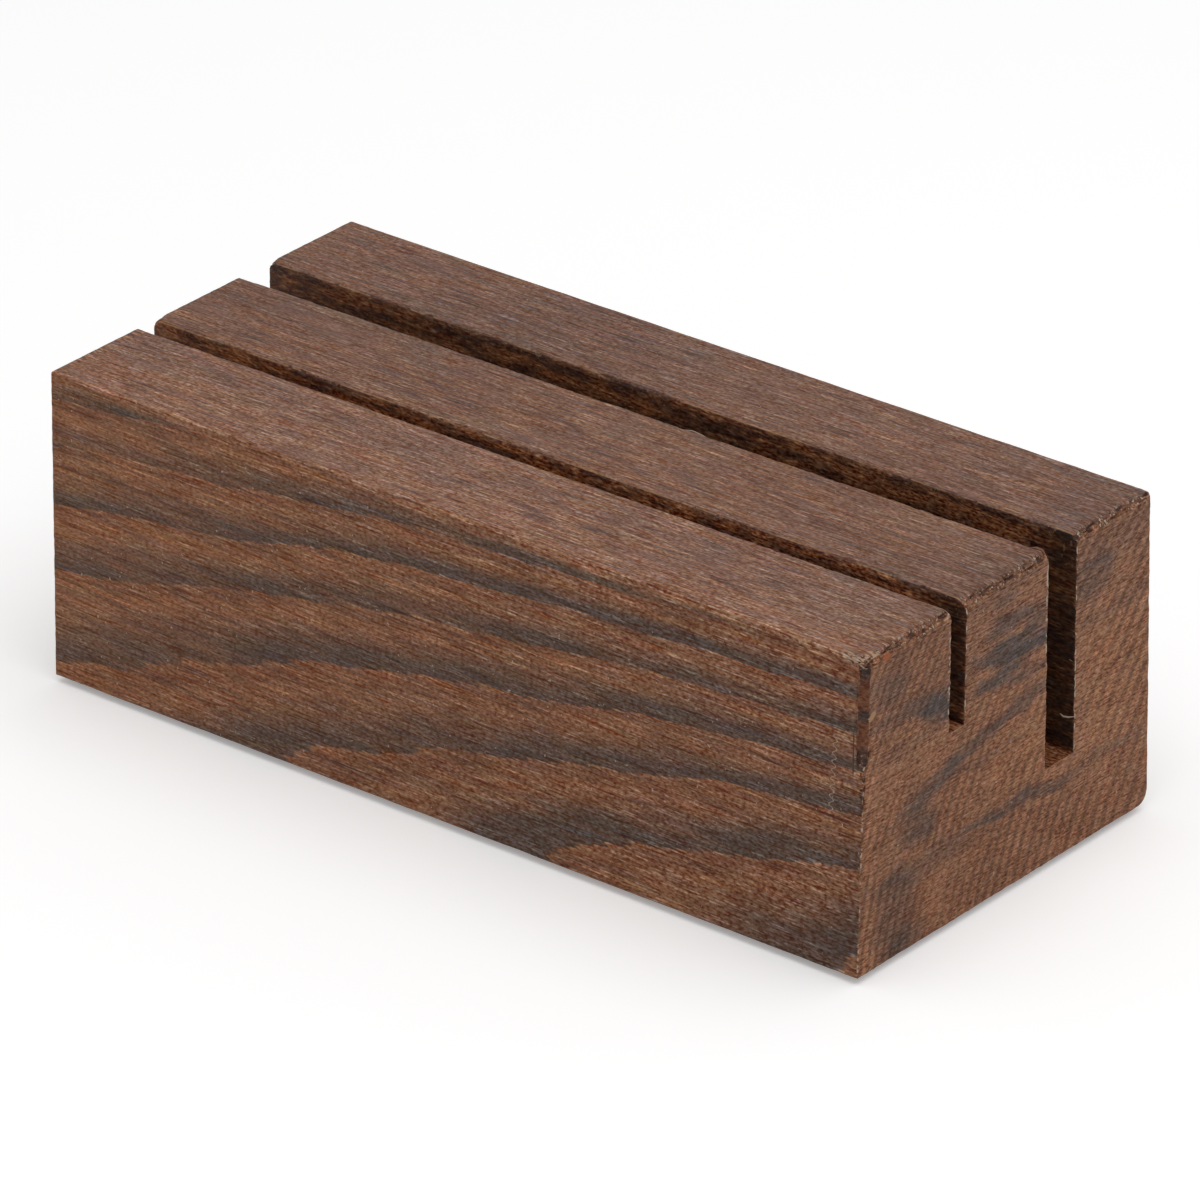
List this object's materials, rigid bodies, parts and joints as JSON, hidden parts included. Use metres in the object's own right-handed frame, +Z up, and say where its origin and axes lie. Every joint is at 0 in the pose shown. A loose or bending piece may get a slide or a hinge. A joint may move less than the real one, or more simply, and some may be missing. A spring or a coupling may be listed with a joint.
{
  "type": "menu holder",
  "caption": "Slotted wooden block that stands on a table and holds menu cards upright in a narrow front slot and a wide rear slot, on thin rubber feet.",
  "frame": {"origin": "on the table under the middle of the block, level with the undersides of the feet", "axes": "+X along the slots, -Y towards the front face beside the narrow slot, +Z up out of the slots"},
  "size_m": [0.15, 0.069, 0.0511],
  "materials": {
    "stained_wood": "dark stained open-pored wood, matt, sawn ends",
    "black_rubber": "matt black sheet rubber"
  },
  "bodies": {
    "root": {"slotted_block": "stained_wood", "foot_front_left": "black_rubber", "foot_front_right": "black_rubber", "foot_rear_left": "black_rubber", "foot_rear_right": "black_rubber"}
  },
  "joints": []
}
